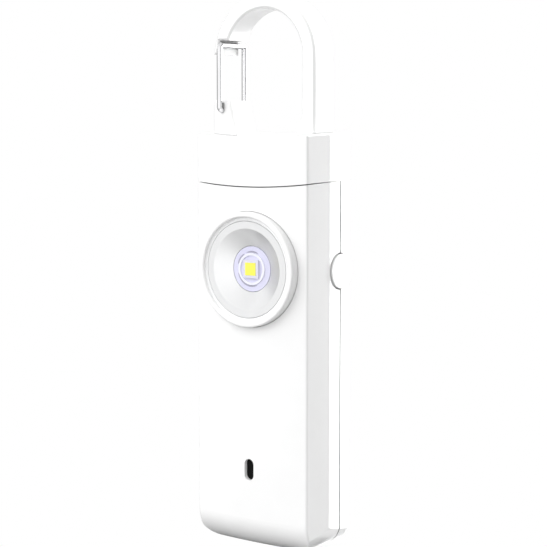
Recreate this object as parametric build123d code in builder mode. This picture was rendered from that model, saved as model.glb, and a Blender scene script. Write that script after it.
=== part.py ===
from build123d import *
import math
import os

os.makedirs("parts", exist_ok=True)

# Pocket personal alarm: a flat white body with a lamp, a siren and a side button.
# A cap with a hook and a steel pin pulls off its top to set off the siren.
# +Z is up, the front faces -Y, and the origin is on the flat foot under the body.

# General fits
overrun = 2.0
fit_gap = 0.1
move_gap = 0.3
pin_play = 0.05
screw_play = 0.1
screw_chamfer_share = 0.25
screw_slot_share = 0.25
lead_in_share = 0.33

# Body
body_width = 27.1
side_crown = 0.35
crease_back = 0.35
corner_front = 7.0
front_crown = 0.85
back_reach = 8.2
wall = 1.5
back_shell_depth = 4.0
seam_groove = 0.35
groove_depth = 0.6
front_edge_radius = 0.5
back_edge_radius = 0.8
foot_width = 8.0
foot_rise = 0.75
foot_corner_radius = 5.0
front_foot_radius = 6.4

# Cap and its curved parting line
cap_height = 9.5
cap_gap = 0.22
edge_sag = 0.73
edge_tilt = 2.06
cap_top_radius = 0.4
rim_middle_share = 0.5
rim_slope_share = 0.5
cap_wall = 1.5
cap_roof = 2.1
cap_plate_thickness = 1.4
cap_plate_lift = 2.1
cap_screw_radius = 0.7
cap_screw_head_radius = 1.3
cap_screw_head = 0.8
cap_screw_length = 4.2

# Hook
hook_side_step = 1.05
hook_depth = 6.8
hook_back_shift = 0.3
hook_rise = 28.5
hook_leg_width = 3.1
hook_crown_thickness = 2.9
hook_left_root = 6.0
hook_right_root = 5.0
hook_root_flare = 6.5
hook_tenon_width = 3.6
hook_tenon_depth = 4.0
hook_tenon_inset = 3.3
hook_tenon_rise = 3.0
keeper_thickness = 1.8
keeper_inset = 1.0
nose_rise = 3.55
nose_lip_drop = 2.8
nose_lip_width = 1.5
leg_rise = 7.45
leg_top_width = 4.3
hook_edge_cut = 0.4
keeper_corner_radius = 0.5

# Wire gate
wire_radius = 0.55
wire_side_gap = 0.2
gate_pivot_drop = 1.9
gate_bar_drop = 0.95
gate_line_inset = 2.2
gate_end_depth = 1.6

# Pull pin and its guide
pin_radius = 1.2
pin_forward = 1.0
pin_reach = 4.15
pin_head_radius = 2.4
pin_head_thickness = 0.9
guide_radius = 2.0
guide_flange_radius = 2.9
guide_flange_thickness = 0.8
guide_length = 2.8

# Neck on the body that the cap sits over
neck_side_gap = 4.05
neck_depth = 9.0
neck_height = 1.6
neck_wall = 1.4

# Lamp
lamp_above_port = 40.45
lamp_below_cap = 16.45
bezel_side_gap = 2.05
bezel_rim = 1.1
bezel_proud = 1.4
bezel_seat = 0.7
bezel_edge_radius = 0.35
bezel_step = 0.6
bezel_tube_length = 3.9
lens_seat = 0.7
lens_thickness = 0.5
lens_setback = 0.3
lens_dome = 0.2
reflector_flange_width = 1.45
reflector_depth = 1.9
reflector_wall = 0.6
led_board_radius = 4.5
led_board_thickness = 0.8
led_dam_radius = 3.2
led_dam_wall = 0.5
led_dam_height = 0.2
led_package_size = 3.6
led_package_height = 0.45
led_phosphor_size = 2.5
led_phosphor_height = 0.1

# Sound port and siren
port_level = 16.45
port_width = 2.25
port_height = 4.35
sounder_side_gap = 3.15
sounder_wall = 0.9
sounder_height = 4.2
sounder_ledge = 0.8
sounder_front_gap = 0.65
piezo_setback = 2.3
mesh_radius = 3.6
mesh_thickness = 0.3
mesh_pocket = 0.65
piezo_side_gap = 0.2
piezo_thickness = 0.35
ceramic_rim = 2.8
ceramic_thickness = 0.3

# Main board
board_seam_gap = 1.7
board_thickness = 1.0
board_side_gap = 6.15
board_low = 5.0
board_top_gap = 3.35
board_screw_radius = 0.7
board_screw_head_radius = 1.3
board_screw_head = 0.7
board_screw_inset = 1.6
board_post_radius = 1.5
post_sounder_gap = 2.0
post_lamp_gap = 0.55
board_screw_grip = 2.2
chip_size = 5.0
chip_height = 0.9
chip_edge_share = 0.2
chip_level = 36.0
coil_radius = 2.5
coil_core_radius = 1.2
coil_height = 2.2
coil_level = 26.0
coil_flange = 0.5

# Side button and its switch
button_drop = 0.5
button_radius = 3.5
button_proud = 0.35
button_gap = 0.2
button_edge_radius = 0.12
button_flange_depth = 4.2
button_flange_height = 9.2
button_flange_thickness = 0.7
button_stem_radius = 1.2
button_travel = 0.5
switch_height = 4.4
switch_depth = 3.2
switch_edge_inset = 0.3
plunger_radius = 0.8
plunger_reach = 1.3
plunger_sink = 0.6

# Siren switch under the pin
pull_switch_width = 5.0
pull_switch_height = 4.2
pull_plunger_reach = 1.8
pull_plunger_width = 1.6
pull_plunger_sink = 1.6

# Battery
cell_end_gap = 0.3
cell_side_gap = 3.55
cell_front_gap = 1.35
cell_edge_radius = 1.2
tape_thickness = 0.5
tape_inset = 2.5

# Charging socket and its cover on the left side
socket_level = 33.0
socket_width = 8.9
socket_depth = 3.2
socket_length = 7.3
socket_shell = 0.3
socket_setback = 1.7
socket_tongue = 0.7
socket_tongue_share = 0.7
cover_height = 13.0
cover_depth = 4.8
cover_thickness = 0.9
cover_lip = 0.7
cover_lip_inset = 0.3

# Leads
lead_radius = 0.4
lead_spread = 1.6
lead_bend = 1.0

# Shell screws
shell_screw_radius = 0.8
shell_screw_head_radius = 1.6
shell_screw_head = 0.9
shell_screw_sink = 0.3
shell_screw_grip = 4.5
shell_screw_inset = 3.65
shell_screw_low = 7.2
shell_screw_drop = 3.95
shell_boss_radius = 2.2

# Places that follow from the sizes above
half_width = body_width / 2
crease_half = half_width + side_crown
front_reach = corner_front + front_crown
crown_radius = (half_width ** 2 + front_crown ** 2) / (2 * front_crown)
sag_radius = (half_width ** 2 + edge_sag ** 2) / (2 * edge_sag)
lamp_level = port_level + lamp_above_port
parting_level = lamp_level + lamp_below_cap
body_height = parting_level + cap_height
seam_back = back_reach - back_shell_depth
inner_front = wall - front_reach
board_back = seam_back - board_seam_gap
board_front = board_back - board_thickness
pin_back = -pin_forward
pin_tip_level = parting_level - pin_reach
pull_switch_top = pin_tip_level - pull_plunger_reach
hook_half = half_width - hook_side_step
hook_top = body_height + hook_rise
arch_level = hook_top - hook_half
nose_level = arch_level + nose_rise
leg_top = body_height + leg_rise
gate_pivot_level = leg_top - gate_pivot_drop
gate_bar_level = nose_level - gate_bar_drop
gate_line_offset = hook_half - gate_line_inset
hook_tenon_offset = hook_half - hook_tenon_inset
keeper_width = 2 * (hook_half - keeper_inset)
tall = hook_top + overrun
neck_width = 2 * (half_width - neck_side_gap)
bezel_radius = half_width - bezel_side_gap
bezel_opening_radius = bezel_radius - bezel_rim
bezel_tube_radius = bezel_radius - bezel_step
bezel_ledge_radius = bezel_opening_radius - lens_seat
reflector_flange_radius = bezel_ledge_radius - fit_gap
reflector_mouth_radius = reflector_flange_radius - reflector_flange_width
reflector_floor_radius = led_board_radius + fit_gap
sounder_radius = half_width - sounder_side_gap
piezo_radius = sounder_radius - sounder_wall - piezo_side_gap
ceramic_radius = piezo_radius - ceramic_rim
rim_front = -front_reach - bezel_proud
lens_front = rim_front + lens_setback
lens_back = lens_front + lens_thickness
reflector_back = lens_back + reflector_depth
shelf_level = parting_level - cap_gap
bezel_seat_back = bezel_seat - front_reach
bezel_tube_back = bezel_tube_length + rim_front
board_width = 2 * (half_width - board_side_gap)
board_half = board_width / 2
board_high = parting_level - board_top_gap
board_screw_offset = board_half - board_screw_inset
sounder_shoulder = math.sqrt(sounder_radius ** 2 - board_screw_offset ** 2)
lamp_shoulder = math.sqrt(bezel_tube_radius ** 2 - board_screw_offset ** 2)
board_screw_low = port_level + sounder_shoulder + board_post_radius + post_sounder_gap
board_screw_high = lamp_level - lamp_shoulder - board_post_radius - post_lamp_gap
cell_low = board_screw_low + board_post_radius + cell_end_gap
cell_height = board_screw_high - board_post_radius - cell_end_gap - cell_low
cell_width = 2 * (half_width - cell_side_gap)
cell_depth = board_front - tape_thickness - inner_front - cell_front_gap
button_level = lamp_level - button_drop
shell_screw_offset = half_width - shell_screw_inset
shell_screw_high = parting_level - shell_screw_drop
cover_floor = crease_half - cover_thickness - fit_gap
socket_mouth = crease_half - socket_setback
socket_back = board_back + socket_depth / 2
switch_width = 2 * (seam_back - board_back)
switch_side = board_half - switch_edge_inset
plunger_side = switch_side + plunger_reach
flange_side = crease_half - side_crown - wall - fit_gap
button_side = crease_half + button_proud
hook_front = hook_back_shift - hook_depth / 2
hook_back = hook_back_shift + hook_depth / 2
cap_ceiling = body_height - cap_roof
cap_plate_low = parting_level + cap_plate_lift
cap_plate_high = cap_plate_low + cap_plate_thickness
sounder_front = inner_front + sounder_front_gap
piezo_front = sounder_front + piezo_setback
piezo_back = piezo_front + piezo_thickness


def front_plane(back):
    """The plane facing the front, at a distance towards the back."""
    return Plane.XZ.offset(-back)


def edge_plane(level):
    """The tilted plane at the front of a curved parting face."""
    lean = math.radians(edge_tilt)
    return Plane(
        origin=(0, -front_reach, level),
        x_dir=(1, 0, 0),
        z_dir=(0, -math.cos(lean), -math.sin(lean)),
    )


def above_edge(level):
    """The room above a curved parting face: a shallow trough that rises to the back."""
    reach = crease_half + overrun
    rise = sag_radius - math.sqrt(sag_radius ** 2 - reach ** 2)
    with BuildPart() as room:
        with BuildSketch(edge_plane(level)):
            with BuildLine():
                ThreePointArc((-reach, rise), (0, 0), (reach, rise))
                Line((reach, rise), (reach, tall))
                Line((reach, tall), (-reach, tall))
                Line((-reach, tall), (-reach, rise))
            make_face()
        extrude(amount=front_reach + back_reach + overrun, both=True)
    return room.part


def body_section(inset):
    """The body seen from above: a crowned front, creased sides and a flat back."""
    with BuildLine() as outline:
        ThreePointArc((-half_width, -corner_front), (0, -front_reach), (half_width, -corner_front))
        Line((half_width, -corner_front), (crease_half, crease_back))
        Line((crease_half, crease_back), (half_width, back_reach))
        Line((half_width, back_reach), (-half_width, back_reach))
        Line((-half_width, back_reach), (-crease_half, crease_back))
        Line((-crease_half, crease_back), (-half_width, -corner_front))
    make_face(outline.edges())
    if inset:
        offset(amount=-inset, kind=Kind.INTERSECTION, mode=Mode.REPLACE)


def front_outline(inset):
    """The body seen from the front: a short flat foot, gentle arcs and round corners."""
    foot = foot_width / 2
    with BuildLine() as outline:
        Line((-foot, 0), (foot, 0))
        TangentArc((foot, 0), (crease_half, foot_rise), tangent=(1, 0))
        Line((crease_half, foot_rise), (crease_half, tall))
        Line((crease_half, tall), (-crease_half, tall))
        Line((-crease_half, tall), (-crease_half, foot_rise))
        TangentArc((-foot, 0), (-crease_half, foot_rise), tangent=(-1, 0))
    made = make_face(outline.edges())
    corners = made.vertices().group_by(Axis.Y)[1]
    fillet(corners, radius=foot_corner_radius)
    if inset:
        offset(amount=-inset, kind=Kind.INTERSECTION, mode=Mode.REPLACE)


def body_form(inset):
    """The whole body and cap as one block, smaller all round by the inset."""
    with BuildPart() as form:
        with BuildSketch():
            body_section(inset)
        extrude(amount=tall)
        with BuildSketch(front_plane(back_reach + overrun)):
            front_outline(inset)
        extrude(amount=front_reach + back_reach + 2 * overrun, mode=Mode.INTERSECT)
        with BuildSketch(Plane.YZ):
            with Locations((crown_radius - front_reach, inset)):
                blank = Rectangle(crown_radius - inset, tall, align=(Align.MAX, Align.MIN))
            front_foot = blank.vertices().group_by(Axis.Y)[0].sort_by(Axis.X)[0]
            fillet(front_foot, radius=front_foot_radius - inset)
        axis = Axis((0, crown_radius - front_reach, 0), (0, 0, 1))
        revolve(axis=axis, mode=Mode.INTERSECT)
    return form.part


def outer_form():
    """The outside of the body and cap, with its edges rounded."""
    with BuildPart() as form:
        add(body_form(0))
        back_edges = form.faces().sort_by(Axis.Y)[-1].edges()
        low_edges = back_edges.filter_by(lambda e: e.center().Z < tall - overrun)
        fillet(low_edges, radius=back_edge_radius)
        front_edges = form.edges().filter_by(Axis.Z).group_by(Axis.Y)[0]
        fillet(front_edges, radius=front_edge_radius)
    return form.part


outer = outer_form()
inner = body_form(wall)
cap_inner = body_form(cap_wall)
room_over_cap = above_edge(body_height)
room_over_parting = above_edge(parting_level)
room_over_body = above_edge(shelf_level)
room_over_shelf = above_edge(shelf_level - wall)


def seam_box(front, back):
    """A block of full width and height between two depths."""
    with BuildPart() as block:
        with BuildSketch(front_plane(back)):
            with Locations((0, tall / 2)):
                Rectangle(2 * (crease_half + overrun), tall + 2 * overrun)
        extrude(amount=back - front)
    return block.part


front_half = seam_box(-front_reach - overrun, seam_back)
back_half = seam_box(seam_back, back_reach + overrun)


def shell_blank():
    """Both body shells together, hollow, under the parting face."""
    with BuildPart() as blank:
        add(outer)
        add(room_over_body, mode=Mode.SUBTRACT)
        with BuildPart(mode=Mode.PRIVATE) as hollow:
            add(inner)
            add(room_over_shelf, mode=Mode.SUBTRACT)
        add(hollow.part, mode=Mode.SUBTRACT)
    return blank.part


def screw_places():
    """The four shell screws, as seen from the front."""
    return [
        (side * shell_screw_offset, level)
        for side in (-1, 1)
        for level in (shell_screw_low, shell_screw_high)
    ]


def board_screw_places():
    """The two board screws, as seen from the front."""
    return [(board_screw_offset, board_screw_low), (-board_screw_offset, board_screw_high)]


def opened_shells():
    """The shells with the button's hole, the socket's hole and the cover's recess."""
    with BuildPart() as opened:
        add(shell_blank())
        with BuildSketch(Plane.YZ.offset(half_width - wall - overrun)):
            with Locations((seam_back, button_level)):
                Circle(button_radius + button_gap)
        extrude(amount=wall + 2 * overrun, mode=Mode.SUBTRACT)
        with BuildSketch(Plane.YZ.offset(-cover_floor)):
            with Locations((socket_back, socket_level)):
                SlotOverall(cover_height + 2 * fit_gap, cover_depth + 2 * fit_gap, rotation=90)
        extrude(amount=-overrun, mode=Mode.SUBTRACT)
        with BuildSketch(Plane.YZ.offset(-crease_half - overrun)):
            with Locations((socket_back, socket_level)):
                SlotOverall(socket_width + 2 * move_gap, socket_depth + 2 * move_gap, rotation=90)
        extrude(amount=wall + 2 * overrun, mode=Mode.SUBTRACT)
    return opened.part


shells = opened_shells()

# Front shell: front, sides, top shelf with the neck, and the screw bosses
with BuildPart() as front_shell:
    add(shells)
    add(front_half, mode=Mode.INTERSECT)
    with BuildSketch(front_plane(seam_back)):
        with Locations(*screw_places()):
            Circle(shell_boss_radius)
    extrude(until=Until.NEXT)
    with BuildSketch(front_plane(board_front)):
        with Locations(*board_screw_places()):
            Circle(board_post_radius)
    extrude(until=Until.NEXT)
    with BuildSketch(Plane.XY.offset(shelf_level - wall / 2)):
        with Locations((0, pin_back)):
            SlotOverall(neck_width, neck_depth)
    extrude(amount=wall / 2 + neck_height)
    with BuildSketch(Plane.XY.offset(shelf_level)):
        with Locations((0, pin_back)):
            SlotOverall(neck_width - 2 * neck_wall, neck_depth - 2 * neck_wall)
    extrude(amount=neck_height + overrun, mode=Mode.SUBTRACT)
    with BuildSketch(Plane.XY.offset(shelf_level + overrun)):
        with Locations((0, pin_back)):
            Circle(guide_radius + pin_play)
    extrude(amount=-2 * overrun - wall, mode=Mode.SUBTRACT)
    with BuildSketch(front_plane(inner_front + overrun)):
        with Locations((0, lamp_level)):
            Circle(bezel_tube_radius + fit_gap)
    extrude(amount=wall + 2 * overrun, mode=Mode.SUBTRACT)
    with BuildSketch(front_plane(bezel_seat_back)):
        with Locations((0, lamp_level)):
            Circle(bezel_radius + fit_gap)
    extrude(amount=bezel_seat + overrun, mode=Mode.SUBTRACT)
    with BuildSketch(front_plane(inner_front + overrun)):
        with Locations((0, port_level)):
            SlotOverall(port_height, port_width, rotation=90)
    extrude(amount=wall + 2 * overrun, mode=Mode.SUBTRACT)
    with BuildSketch(front_plane(inner_front + overrun)):
        with Locations((0, port_level)):
            Circle(mesh_radius + fit_gap)
    extrude(amount=mesh_pocket + overrun, mode=Mode.SUBTRACT)
    with BuildSketch(front_plane(seam_back + overrun)):
        with Locations(*screw_places()):
            Circle(shell_screw_radius + pin_play)
    extrude(amount=overrun + shell_screw_grip, mode=Mode.SUBTRACT)
    with BuildSketch(front_plane(board_front + overrun)):
        with Locations(*board_screw_places()):
            Circle(board_screw_radius + pin_play)
    extrude(amount=overrun + board_screw_grip, mode=Mode.SUBTRACT)
front_shell.part.label = "front_shell"
export_step(front_shell.part, "parts/front_shell.step")

# Back shell: a shallow tray with a fine groove along the seam and recessed screw heads
with BuildPart() as back_shell:
    add(shells)
    add(back_half, mode=Mode.INTERSECT)
    with BuildPart(mode=Mode.PRIVATE) as groove:
        add(seam_box(seam_back, seam_back + seam_groove))
        add(body_form(groove_depth), mode=Mode.SUBTRACT)
    add(groove.part, mode=Mode.SUBTRACT)
    with BuildSketch(front_plane(back_reach - wall / 2)):
        with Locations(*screw_places()):
            Circle(shell_boss_radius)
    extrude(amount=back_reach - wall / 2 - seam_back)
    with BuildSketch(front_plane(back_reach + overrun)):
        with Locations(*screw_places()):
            Circle(shell_screw_radius + screw_play)
    extrude(amount=back_reach + 2 * overrun - seam_back, mode=Mode.SUBTRACT)
    with BuildSketch(front_plane(back_reach + overrun)):
        with Locations(*screw_places()):
            Circle(shell_screw_head_radius + screw_play)
    extrude(amount=overrun + shell_screw_sink + shell_screw_head, mode=Mode.SUBTRACT)
back_shell.part.label = "back_shell"
export_step(back_shell.part, "parts/back_shell.step")


def screws(name, places, plane, radius, head_radius, head, length):
    """Pan-head screws whose heads rise from a plane and whose shanks go down from it."""
    with BuildPart() as made:
        with BuildSketch(plane):
            with Locations(*places):
                Circle(head_radius)
        extrude(amount=head)
        tops = made.faces().group_by(Axis((0, 0, 0), plane.z_dir))[-1]
        chamfer(tops.edges(), length=head * screw_chamfer_share)
        with BuildSketch(plane.offset(head)):
            with Locations(*places):
                Rectangle(head_radius, head_radius * screw_slot_share)
                Rectangle(head_radius * screw_slot_share, head_radius)
        extrude(amount=-head / 2, mode=Mode.SUBTRACT)
        with BuildSketch(plane):
            with Locations(*places):
                Circle(radius)
        extrude(amount=-length)
    made.part.label = name
    export_step(made.part, "parts/" + name + ".step")
    return made


def back_plane(back):
    """The plane facing the back, at a distance towards the back."""
    return Plane(origin=(0, back, 0), x_dir=(-1, 0, 0), z_dir=(0, 1, 0))


# Shell screws, driven in from the back
shell_screw_seat = back_reach - shell_screw_sink - shell_screw_head
shell_screws = screws(
    "shell_screws",
    screw_places(),
    back_plane(shell_screw_seat),
    shell_screw_radius,
    shell_screw_head_radius,
    shell_screw_head,
    shell_screw_seat - seam_back + shell_screw_grip - fit_gap,
)

# Guide that the pull pin slides in
with BuildPart() as pin_guide:
    with BuildSketch(Plane.XY.offset(shelf_level)):
        with Locations((0, pin_back)):
            Circle(guide_flange_radius)
    extrude(amount=guide_flange_thickness)
    with BuildSketch(Plane.XY.offset(shelf_level)):
        with Locations((0, pin_back)):
            Circle(guide_radius)
    extrude(amount=guide_flange_thickness - guide_length)
    with BuildSketch(Plane.XY.offset(shelf_level + guide_flange_thickness)):
        with Locations((0, pin_back)):
            Circle(pin_radius + pin_play)
    extrude(amount=-guide_length, mode=Mode.SUBTRACT)
    mouth = pin_guide.faces().sort_by(Axis.Z)[-1].edges().sort_by(SortBy.RADIUS)[0]
    chamfer(mouth, length=guide_flange_thickness * lead_in_share)
pin_guide.part.label = "pin_guide"
export_step(pin_guide.part, "parts/pin_guide.step")

# Cap: a cup with a dished top
with BuildPart() as cap_shell:
    add(outer)
    add(room_over_parting, mode=Mode.INTERSECT)
    add(room_over_cap, mode=Mode.SUBTRACT)
    rim = cap_shell.edges().filter_by(lambda e: e.center().Z > body_height - cap_height / 2)
    rim = rim.filter_by(lambda e: abs(e.tangent_at(rim_middle_share).Z) < rim_slope_share)
    fillet(rim, radius=cap_top_radius)
    with BuildPart(mode=Mode.PRIVATE) as hollow:
        add(cap_inner)
        with BuildSketch(Plane.XY.offset(cap_ceiling)):
            Rectangle(body_width + 2 * overrun, 2 * (front_reach + back_reach))
        extrude(amount=tall, mode=Mode.SUBTRACT)
    add(hollow.part, mode=Mode.SUBTRACT)
    with BuildSketch(Plane.XY.offset(cap_ceiling - overrun)):
        with Locations((-hook_tenon_offset, hook_back_shift), (hook_tenon_offset, hook_back_shift)):
            Rectangle(hook_tenon_width + 2 * fit_gap, hook_tenon_depth + 2 * fit_gap)
    extrude(amount=cap_roof + 2 * overrun, mode=Mode.SUBTRACT)
cap_shell.part.label = "cap_shell"
export_step(cap_shell.part, "parts/cap_shell.step")

# Plate that closes the cap from below and holds the pin
with BuildPart() as cap_base_plate:
    with BuildSketch(Plane.XY.offset(cap_plate_low)):
        body_section(cap_wall + fit_gap)
    extrude(amount=cap_plate_thickness)
    with BuildSketch(Plane.XY.offset(cap_plate_high)):
        body_section(cap_wall + fit_gap)
        offset(amount=-cap_plate_thickness, kind=Kind.INTERSECTION, mode=Mode.SUBTRACT)
    extrude(amount=cap_ceiling - cap_plate_high - keeper_thickness - fit_gap)
    with BuildSketch(Plane.XY.offset(cap_plate_low)):
        with Locations((0, pin_back)):
            Circle(pin_radius + pin_play)
    extrude(amount=cap_plate_thickness, mode=Mode.SUBTRACT)
cap_base_plate.part.label = "cap_base_plate"
export_step(cap_base_plate.part, "parts/cap_base_plate.step")

# Steel pin that holds the siren switch down while the cap is on
with BuildPart() as pull_pin:
    with BuildSketch(Plane.XY.offset(cap_plate_high)):
        with Locations((0, pin_back)):
            Circle(pin_head_radius)
    extrude(amount=pin_head_thickness)
    with BuildSketch(Plane.XY.offset(cap_plate_high)):
        with Locations((0, pin_back)):
            Circle(pin_radius)
    extrude(amount=pin_tip_level - cap_plate_high)
    tip = pull_pin.faces().sort_by(Axis.Z)[0].edges()
    chamfer(tip, length=pin_radius * lead_in_share)
pull_pin.part.label = "pull_pin"
export_step(pull_pin.part, "parts/pull_pin.step")

# Hook outline: an arch on straight sides, with a throat that widens the roots
inner_half = hook_half - hook_leg_width
root_low = body_height - overrun
lip_low = nose_level - nose_lip_drop


def draw_hook():
    """The whole hook seen from the front, before its gap is cut."""
    with BuildLine() as throat:
        Line((-inner_half, arch_level), (-inner_half, leg_top))
        Line((-inner_half, leg_top), (leg_top_width - hook_half, leg_top))
        Line((leg_top_width - hook_half, leg_top), (hook_left_root - hook_half, body_height))
        Line((hook_left_root - hook_half, body_height), (hook_left_root - hook_half, root_low))
        Line((hook_left_root - hook_half, root_low), (hook_half - hook_right_root, root_low))
        Line((hook_half - hook_right_root, root_low), (hook_half - hook_right_root, body_height))
        TangentArc(
            (inner_half, body_height + hook_root_flare),
            (hook_half - hook_right_root, body_height),
            tangent=(0, -1),
        )
        Line((inner_half, body_height + hook_root_flare), (inner_half, arch_level))
        Line((inner_half, arch_level), (-inner_half, arch_level))
    with Locations((0, arch_level)):
        Circle(hook_half)
    with Locations((0, root_low)):
        Rectangle(2 * hook_half, arch_level - root_low, align=(Align.CENTER, Align.MIN))
    with Locations((0, arch_level)):
        Ellipse(inner_half, hook_half - hook_crown_thickness, mode=Mode.SUBTRACT)
    make_face(throat.edges(), mode=Mode.SUBTRACT)


def hook_piece(draw_cut, side):
    """One leg of the hook with bevelled edges, its foot on the cap and a tenon below."""
    with BuildPart() as piece:
        with BuildSketch(front_plane(hook_back)):
            draw_hook()
            draw_cut()
        extrude(amount=hook_depth)
        faces = piece.faces().sort_by(Axis.Y)
        chamfer(faces[0].edges() + faces[-1].edges(), length=hook_edge_cut)
        add(room_over_cap, mode=Mode.INTERSECT)
        with BuildSketch(Plane.XY.offset(cap_ceiling)):
            with Locations((side * hook_tenon_offset, hook_back_shift)):
                Rectangle(hook_tenon_width, hook_tenon_depth)
        extrude(amount=cap_roof + hook_tenon_rise)
        with BuildSketch(Plane.XY.offset(cap_ceiling)):
            with Locations((side * hook_tenon_offset, hook_back_shift)):
                Circle(cap_screw_radius + pin_play)
        extrude(amount=cap_screw_length - keeper_thickness + fit_gap, mode=Mode.SUBTRACT)
    return piece.part


def cut_for_arch():
    """Cuts the short leg away and leaves the nose with its lip on the outside."""
    with Locations((-hook_half - overrun, root_low)):
        Rectangle(hook_half, lip_low - root_low, align=(Align.MIN, Align.MIN), mode=Mode.SUBTRACT)
    with Locations((nose_lip_width - hook_half, root_low)):
        Rectangle(hook_leg_width, nose_level - root_low, align=(Align.MIN, Align.MIN), mode=Mode.SUBTRACT)
    with Locations((-hook_half, root_low)):
        Rectangle(hook_half, leg_top - root_low, align=(Align.MIN, Align.MIN), mode=Mode.SUBTRACT)


def cut_for_post():
    """Keeps the short leg alone."""
    with Locations((-hook_half, root_low)):
        Rectangle(hook_half, leg_top - root_low, align=(Align.MIN, Align.MIN), mode=Mode.INTERSECT)


# Hook: the arch with its nose and its long leg
with BuildPart() as carry_hook:
    add(hook_piece(cut_for_arch, 1))
carry_hook.part.label = "carry_hook"
export_step(carry_hook.part, "parts/carry_hook.step")

# Gate post: the short leg, with a hole on each face for the wire's ends
with BuildPart() as gate_post:
    add(hook_piece(cut_for_post, -1))
    for face, way in ((hook_front, 1), (hook_back, -1)):
        with BuildSketch(front_plane(face - way * overrun)):
            with Locations((-gate_line_offset, gate_pivot_level)):
                Circle(wire_radius + pin_play)
        extrude(amount=-way * (overrun + gate_end_depth + fit_gap), mode=Mode.SUBTRACT)
gate_post.part.label = "gate_post"
export_step(gate_post.part, "parts/gate_post.step")

# Keeper plate under the cap's roof, screwed to the hook's tenons
keeper_places = [(-hook_tenon_offset, hook_back_shift), (hook_tenon_offset, hook_back_shift)]
with BuildPart() as hook_keeper:
    with BuildSketch(Plane.XY.offset(cap_ceiling - keeper_thickness)):
        with Locations((0, hook_back_shift)):
            RectangleRounded(keeper_width, hook_depth, keeper_corner_radius)
        with Locations(*keeper_places):
            Circle(cap_screw_radius + screw_play, mode=Mode.SUBTRACT)
    extrude(amount=keeper_thickness)
hook_keeper.part.label = "hook_keeper"
export_step(hook_keeper.part, "parts/hook_keeper.step")

keeper_plane = Plane(
    origin=(0, 0, cap_ceiling - keeper_thickness), x_dir=(1, 0, 0), z_dir=(0, 0, -1)
)
cap_screws = screws(
    "cap_screws",
    [(x, -y) for x, y in keeper_places],
    keeper_plane,
    cap_screw_radius,
    cap_screw_head_radius,
    cap_screw_head,
    cap_screw_length,
)

# Wire gate: one bent wire whose ends turn in the hook's short leg
wire_bend_radius = wire_radius + wire_side_gap
wire_front = hook_front - wire_bend_radius
wire_back = hook_back + wire_bend_radius
with BuildPart() as wire_gate:
    with BuildLine() as wire_line:
        FilletPolyline(
            (-gate_line_offset, hook_front + gate_end_depth, gate_pivot_level),
            (-gate_line_offset, wire_front, gate_pivot_level),
            (-gate_line_offset, wire_front, gate_bar_level),
            (-gate_line_offset, wire_back, gate_bar_level),
            (-gate_line_offset, wire_back, gate_pivot_level),
            (-gate_line_offset, hook_back - gate_end_depth, gate_pivot_level),
            radius=wire_bend_radius,
        )
    with BuildSketch(Plane(origin=wire_line.line @ 0, z_dir=wire_line.line % 0)):
        Circle(wire_radius)
    sweep(path=wire_line.line)
wire_gate.part.label = "wire_gate"
export_step(wire_gate.part, "parts/wire_gate.step")


def turned(points):
    """A ring or disc about the lamp's axis, from points of radius and depth."""
    with BuildPart() as ring:
        with BuildSketch(Plane.YZ):
            with BuildLine():
                Polyline(*[(back, lamp_level + radius) for radius, back in points], close=True)
            make_face()
        revolve(axis=Axis((0, 0, lamp_level), (0, 1, 0)))
    return ring.part


# Lamp bezel: the raised white ring in the front shell
with BuildPart() as lamp_bezel:
    add(
        turned(
            [
                (bezel_opening_radius, rim_front),
                (bezel_radius, rim_front),
                (bezel_radius, bezel_seat_back),
                (bezel_tube_radius, bezel_seat_back),
                (bezel_tube_radius, bezel_tube_back),
                (bezel_ledge_radius, bezel_tube_back),
                (bezel_ledge_radius, lens_back),
                (bezel_opening_radius, lens_back),
            ]
        )
    )
    fillet(lamp_bezel.faces().sort_by(Axis.Y)[0].edges(), radius=bezel_edge_radius)
lamp_bezel.part.label = "lamp_bezel"
export_step(lamp_bezel.part, "parts/lamp_bezel.step")

# Clear lens, slightly domed at the front
lens_radius = bezel_opening_radius - pin_play
dome_radius = (lens_radius ** 2 + lens_dome ** 2) / (2 * lens_dome)
with BuildPart() as lamp_lens:
    with BuildSketch(Plane.YZ):
        with BuildLine():
            Line((lens_back, lamp_level), (lens_front - lens_dome, lamp_level))
            RadiusArc(
                (lens_front - lens_dome, lamp_level), (lens_front, lamp_level + lens_radius), dome_radius
            )
            Line((lens_front, lamp_level + lens_radius), (lens_back, lamp_level + lens_radius))
            Line((lens_back, lamp_level + lens_radius), (lens_back, lamp_level))
        make_face()
    revolve(axis=Axis((0, 0, lamp_level), (0, 1, 0)))
lamp_lens.part.label = "lamp_lens"
export_step(lamp_lens.part, "parts/lamp_lens.step")

# Reflector: a shallow cone behind the lens, with a collar that holds the LED board
collar_back = reflector_back + led_board_thickness
with BuildPart() as reflector:
    add(
        turned(
            [
                (reflector_mouth_radius, lens_back),
                (reflector_flange_radius, lens_back),
                (reflector_flange_radius, lens_back + reflector_wall),
                (reflector_mouth_radius + reflector_wall, lens_back + reflector_wall),
                (reflector_floor_radius + reflector_wall, reflector_back),
                (reflector_floor_radius + reflector_wall, collar_back),
                (reflector_floor_radius, collar_back),
                (reflector_floor_radius, reflector_back),
            ]
        )
    )
reflector.part.label = "reflector"
export_step(reflector.part, "parts/reflector.step")


def front_piece(name, back, thickness, draw):
    """A flat piece on the lamp's or siren's axis, drawn from the front."""
    with BuildPart() as piece:
        with BuildSketch(front_plane(back)):
            draw()
        extrude(amount=thickness)
    piece.part.label = name
    export_step(piece.part, "parts/" + name + ".step")
    return piece


def draw_led_board():
    with Locations((0, lamp_level)):
        Circle(led_board_radius)


def draw_led_dam():
    with Locations((0, lamp_level)):
        Circle(led_dam_radius)
        Circle(led_dam_radius - led_dam_wall, mode=Mode.SUBTRACT)


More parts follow.
